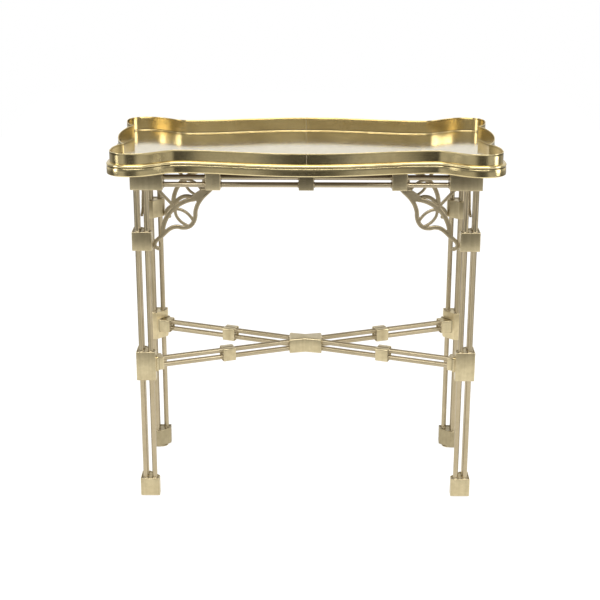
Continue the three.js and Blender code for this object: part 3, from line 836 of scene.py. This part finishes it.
def shifted(line, d):
    """The line moved sideways by d, outwards for the tray."""
    out = []
    for i, p in enumerate(line):
        t = (line[min(i + 1, len(line) - 1)] - line[max(i - 1, 0)]).normalized()
        out.append(Vector((p.x - t.y * d, p.y + t.x * d)))
    return out


def crossing(a, b, c, d):
    """Where the stretch a to b meets the stretch c to d, if it does."""
    r, s, q = b - a, d - c, c - a
    area = r.x * s.y - r.y * s.x
    if abs(area) < 1e-12:
        return None
    t = (q.x * s.y - q.y * s.x) / area
    u = (q.x * r.y - q.y * r.x) / area
    return a + r * t if 0 <= t <= 1 and 0 <= u <= 1 else None


def spaced(line, count):
    """The same line as count equal stretches."""
    run = [0.0]
    for a, b in zip(line, line[1:]):
        run.append(run[-1] + (b - a).length)
    out = []
    for k in range(count + 1):
        want = run[-1] * k / count
        i = next(n for n in range(1, len(run)) if run[n] >= want - 1e-9)
        t = (want - run[i - 1]) / max(run[i] - run[i - 1], 1e-12)
        out.append(line[i - 1].lerp(line[i], t))
    return out


def quarter(d, long_count, short_count):
    """Quarter outline moved outwards by d, from the middle of the back to the middle of the end."""
    long, short = shifted(bezier_line(LONG_SIDE), d), shifted(bezier_line(SHORT_SIDE), d)
    reach = 3 * abs(d) + 1
    long.append(long[-1] + (long[-1] - long[-2]).normalized() * reach)
    short.insert(0, short[0] + (short[0] - short[1]).normalized() * reach)
    for i in range(len(long) - 2, -1, -1):
        for j in range(len(short) - 1):
            meet = crossing(long[i], long[i + 1], short[j], short[j + 1])
            if meet:
                upper = spaced(long[: i + 1] + [meet], long_count)
                lower = spaced([meet] + short[j + 1 :], short_count)
                return upper + lower[1:]
    raise ValueError("the outline does not meet at the notch")


def half_outline(sx, d, long_count=110, short_count=26):
    """One side's outline, from just short of the seam at the back to just short of the one in front."""
    points = [(max(p.x, SEAM_GAP), p.y) for p in quarter(d, long_count, short_count)]
    return [(sx * x, y) for x, y in points + [(x, -y) for x, y in points[-2::-1]]]


def whole_outline(d, long_count=110, short_count=26):
    right = [(p.x, p.y) for p in quarter(d, long_count, short_count)]
    half = right + [(x, -y) for x, y in right[-2::-1]]
    return half + [(-x, y) for x, y in half[-2:0:-1]]


def swept(sx, section, z, wave=0.0):
    """Carries a closed section round one half of the tray; wave leaves the sheet slightly uneven by hand."""
    rings = []
    for d, h in section:
        ring = []
        for x, y in half_outline(sx, d):
            n = noise.noise(Vector((x * 0.021, y * 0.021, h * 0.03)))
            out = Vector((x / TRAY_X, y / TRAY_Y)).normalized() * (n * wave * min(1.0, h / 10 + 0.2))
            ring.append((x + out.x, y + out.y, z + h))
        rings.append(ring)
    stations = len(rings[0])
    piece = Piece()
    verts = [p for ring in rings for p in ring]
    faces = []
    for i in range(len(rings)):
        j = (i + 1) % len(rings)
        for s in range(stations - 1):
            faces.append((i * stations + s, j * stations + s, j * stations + s + 1, i * stations + s + 1))
    flat = [Vector((d, h, 0)) for d, h in section]
    for tri in tessellate_polygon([flat]):
        faces.append(tuple(i * stations for i in tri))
        faces.append(tuple(i * stations + stations - 1 for i in tri))
    return piece.add(verts, faces)


wall_lo, wall_hi = size_of("gallery_right")
band_lo, band_hi = size_of("edge_band_right")
floor_lo, floor_hi = size_of("tray_floor")
board_lo, board_hi = size_of("tray_board")
RIM = wall_hi.z - wall_lo.z
SKIN = -1.5  # the gallery wall's inner face
BAND_T = band_hi.x - wall_hi.x
SCREW_Y = 80


def wall_section():
    """The gallery wall, (outwards, up): a rolled rim above, a small bead inside its foot."""
    outer = [(0.0, RIM * k / 6) for k in range(1, 6)]
    inner = [(SKIN, RIM * k / 6) for k in range(5, 0, -1)]
    roll = [
        (0.0, RIM - 1.6), (0.22, RIM - 1.0), (0.2, RIM - 0.45), (-0.15, RIM - 0.1), (SKIN / 2, RIM),
        (SKIN + 0.15, RIM - 0.1), (SKIN - 0.2, RIM - 0.45), (SKIN - 0.22, RIM - 1.0), (SKIN, RIM - 1.6),
    ]
    foot = [
        (SKIN, 3.0), (SKIN - 0.3, 2.85), (SKIN - 0.75, 2.5), (SKIN - 0.95, 2.05), (SKIN - 0.8, 1.65),
        (SKIN - 0.4, 1.45), (SKIN, 1.4),
    ]
    return [(SKIN, 0.0), (0.0, 0.0)] + outer + roll + inner + foot


def band_section():
    """The edge band, (outwards, up): a rounded skirt, a crease darkened by painted shade with some tarnish,
    and the bead above it.
    """
    skirt = [
        (0.1, 0.0), (3.6, 0.0), (4.9, 0.25), (5.7, 0.9), (6.1, 1.9), (6.15, 3.2), (6.15, 9.0), (6.15, 14.8),
    ]
    crease = [(5.9, 15.3), (4.5, 15.6), (4.1, 16.4), (4.1, 17.1), (4.5, 17.6), (5.9, 17.9)]
    bead = [
        (BAND_T, 18.6), (BAND_T, 19.8), (6.1, 20.9), (5.4, 21.8), (4.4, 22.4), (3.0, 22.8), (1.4, 23.0),
        (0.1, 23.0),
    ]
    return skirt + crease + bead


def make_edge(side, sx):
    gallery = swept(sx, wall_section(), wall_lo.z, 0.5)
    put("gallery_" + side, gallery, gallery_metal, "tray_brass", "tray", "gallery_" + side, angle=50)
    band = swept(sx, band_section(), band_lo.z, 0.35)
    put("edge_band_" + side, band, band_metal, "tray_brass", "tray", "edge_band_" + side, angle=50)


def make_floor():
    """The polished sheet inside the gallery."""
    outline = whole_outline(SKIN - 0.15, 60, 16)
    sheet = Piece().loft([[(x, y, z) for x, y in outline] for z in (floor_lo.z, floor_hi.z)])
    put("tray_floor", sheet, floor_metal, "floor_brass", "tray", "tray_floor", worn_and_shaded=False)


def make_board():
    """The core under the floor, its lower edge eased."""
    outline = whole_outline(-0.1, 60, 16)
    under = whole_outline(-1.2, 60, 16)
    core = Piece().loft([
        [(x, y, board_lo.z) for x, y in under],
        [(x, y, board_lo.z + 1.1) for x, y in outline],
        [(x, y, board_hi.z) for x, y in outline],
    ])
    put("tray_board", core, board_wood, "board_wood", "tray", "tray_board")


def make_cleat(side):
    """Bar that keeps the tray between the caps, and the three screws in it."""
    lo, hi = size_of("tray_cleat_" + side)
    cleat = stack(Piece(), rect(lo.x, hi.x, lo.y, hi.y), edge_up(lo.z, 1.5) + edge_down(hi.z, 0.6), 1.5)
    put("tray_cleat_" + side, cleat, board_wood, "board_wood", "tray", "tray_cleat_" + side)
    screws = Piece()
    head = [(0.0, 3.9), (0.25, 4.3), (0.7, 4.4), (1.6, 4.4)]
    for y in (-SCREW_Y, 0, SCREW_Y):
        turned(screws, ((lo.x + hi.x) / 2, y, lo.z - 0.3), (0, 0, 1), head, 24)
    put("cleat_screws_" + side, screws, glide_metal, "glide_metal", "tray")


def seam_bead(sy, inner, z0, z1, skin):
    """Rings of one uneven run of solder up the wall."""
    rings = []
    for k in range(41):
        z = z0 + (z1 - z0) * k / 40
        w = 0.55 + 0.35 * noise.noise(Vector((3.1 * sy, inner * 5, z * 0.9)))
        d = 0.22 + 0.16 * noise.noise(Vector((7.7 * sy, inner * 9, z * 1.3)))
        shift = 0.25 * noise.noise(Vector((1.7, inner * 2, z * 0.35)))
        ring = []
        for a in range(10):
            t = 2 * math.pi * a / 10
            ring.append((shift + w * math.cos(t), TRAY_Y * sy + sy * (skin + d * math.sin(t)), z))
        rings.append(ring)
    return rings


def make_seam(side, sy):
    """Solder outside and inside, where the two lengths of gallery meet."""
    top = wall_hi.z - 0.1
    seam = Piece()
    seam.loft(seam_bead(sy, 0, band_hi.z - 0.5, top, 0.0))
    seam.loft(seam_bead(sy, 1, floor_hi.z, top, SKIN))
    put("gallery_seam_" + side, seam, solder_metal, "tray_brass", "tray")


make_edge("left", -1)
make_edge("right", 1)
make_floor()
make_board()
make_cleat("left")
make_cleat("right")
make_seam("front", -1)
make_seam("back", 1)


# ---- floor, light and camera ---------------------------------------------------------------------

FLOOR_X, FLOOR_NEAR, FLOOR_FAR = 1.35, -1.40, 4.5


def make_stage():
    """Pale floor. It gives off some light of its own, so that it comes out as white as the background."""
    ground = bpy.data.meshes.new("ground")
    corners = rect(-FLOOR_X, FLOOR_X, FLOOR_NEAR, FLOOR_FAR)
    ground.from_pydata([(x, y, 0) for x, y in corners], [], [(0, 1, 2, 3)])
    ground_obj = bpy.data.objects.new("ground", ground)
    bpy.context.scene.collection.objects.link(ground_obj)
    paper = bpy.data.materials.new("paper")
    paper.use_nodes = True
    shader = paper.node_tree.nodes["Principled BSDF"]
    shader.inputs["Base Color"].default_value = (0.30, 0.30, 0.298, 1)
    shader.inputs["Roughness"].default_value = 0.9
    shader.inputs["Specular IOR Level"].default_value = 0.0
    shader.inputs["Emission Color"].default_value = (1, 1, 1, 1)
    shader.inputs["Emission Strength"].default_value = 0.82
    ground.materials.append(paper)
    ground_obj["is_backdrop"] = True


def sky_ramp(sky, value, low, high, stops):
    """Grey level by a value that runs from low to high."""
    scale = sky.nodes.new("ShaderNodeMapRange")
    scale.inputs["From Min"].default_value = low
    scale.inputs["From Max"].default_value = high
    sky.links.new(value, scale.inputs[0])
    ramp = sky.nodes.new("ShaderNodeValToRGB")
    items = ramp.color_ramp.elements
    while len(items) < len(stops):
        items.new(0.5)
    for item, (place, level) in zip(items, stops):
        item.position = (place - low) / (high - low)
        item.color = (level, level, level, 1)
    sky.links.new(scale.outputs[0], ramp.inputs[0])
    return ramp.outputs[0]


def sky_mix(sky, a, b, amount=None, how="MIX"):
    """Joins two colours, in full unless an amount is given; the second is white if none is given."""
    made = sky.nodes.new("ShaderNodeMix")
    made.data_type = "RGBA"
    made.blend_type = how
    made.inputs[0].default_value = 1.0
    if amount is not None:
        sky.links.new(amount, made.inputs[0])
    sky.links.new(a, made.inputs[6])
    if b is not None:
        sky.links.new(b, made.inputs[7])
    else:
        made.inputs[7].default_value = (1, 1, 1, 1)
    return made.outputs[2]


def make_sky():
    """Studio: bright behind and above the table, dim on the viewer's side, with a low glow to either side."""
    world = bpy.data.worlds.new("studio")
    bpy.context.scene.world = world
    world.use_nodes = True
    sky = world.node_tree
    parts = sky.nodes.new("ShaderNodeSeparateXYZ")
    sky.links.new(sky.nodes.new("ShaderNodeTexCoord").outputs["Generated"], parts.inputs[0])
    up, back = parts.outputs["Z"], parts.outputs["Y"]
    aside = sky.nodes.new("ShaderNodeMath")
    aside.operation = "ABSOLUTE"
    sky.links.new(parts.outputs["X"], aside.inputs[0])
    front_sky = sky_ramp(sky, up, -1, 1, [(-1, 0.05), (-0.10, 0.07), (0.10, 0.20), (0.35, 0.50), (0.9, 0.55)])
    back_sky = sky_ramp(sky, up, -1, 1, [(-1, 0.10), (-0.30, 0.20), (-0.06, 0.95), (0.45, 1.0), (0.8, 0.55)])
    glow = sky_ramp(sky, aside.outputs[0], 0, 1, [(0.20, 0.0), (0.42, 0.9), (0.70, 0.75), (0.92, 0.0)])
    low = sky_ramp(sky, up, -1, 1, [(-0.75, 0.0), (-0.45, 0.62), (-0.12, 0.62), (0.05, 0.0)])
    facing = sky_ramp(sky, back, -1, 1, [(-0.10, 0.0), (0.55, 1.0)])
    sides = sky_mix(sky, glow, low, how="MULTIPLY")
    front = sky_mix(sky, front_sky, sides, how="ADD")
    studio = sky_mix(sky, front, back_sky, facing)
    # the background itself is plain white, and only reflections and light come from the gradients
    seen = sky_mix(sky, studio, None, sky.nodes.new("ShaderNodeLightPath").outputs["Is Camera Ray"])
    sky.links.new(seen, sky.nodes["Background"].inputs[0])
    sky.nodes["Background"].inputs[1].default_value = 1.0


def soft_light(name, place, aim, wide, tall, power):
    data = bpy.data.lights.new(name, "AREA")
    data.shape = "RECTANGLE"
    data.size = wide
    data.size_y = tall
    data.energy = power
    obj = bpy.data.objects.new(name, data)
    bpy.context.scene.collection.objects.link(obj)
    obj.location = place
    obj.rotation_euler = (Vector(aim) - Vector(place)).to_track_quat("-Z", "Y").to_euler()


CAMERA_PIXELS = 600
FOCAL_PIXELS = 1400.0
PITCH, YAW, ROLL = 0.3251, -0.002, 0.0024
CAMERA_BACK, CAMERA_UP, CAMERA_SIDE = 2.754, 1.3115, -0.0118


def make_camera():
    data = bpy.data.cameras.new("camera")
    data.sensor_width = 36.0
    data.lens = data.sensor_width * FOCAL_PIXELS / CAMERA_PIXELS
    data.clip_end = 200
    camera = bpy.data.objects.new("camera", data)
    bpy.context.scene.collection.objects.link(camera)
    around = Matrix.Rotation(-YAW, 4, "Z")
    turn = around @ Matrix.Rotation(math.pi / 2 - PITCH, 4, "X") @ Matrix.Rotation(ROLL, 4, "Z")
    camera.matrix_world = Matrix.Translation(around @ Vector((CAMERA_SIDE, -CAMERA_BACK, CAMERA_UP))) @ turn
    bpy.context.scene.camera = camera


make_stage()
make_sky()
soft_light("left_box", (-2.6, -1.3, 1.3), (0, 0, 0.6), 0.7, 2.4, 26)
soft_light("right_box", (2.6, -1.0, 1.2), (0, 0, 0.6), 1.0, 2.4, 34)
soft_light("top", (0, -2.6, 2.9), (0, 0, 0.4), 3.2, 1.3, 90)
soft_light("overhead", (0, -0.6, 3.2), (0, 0, 0.6), 3.0, 1.4, 24)
make_camera()
bpy.context.scene.view_settings.view_transform = "Standard"

lo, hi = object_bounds()
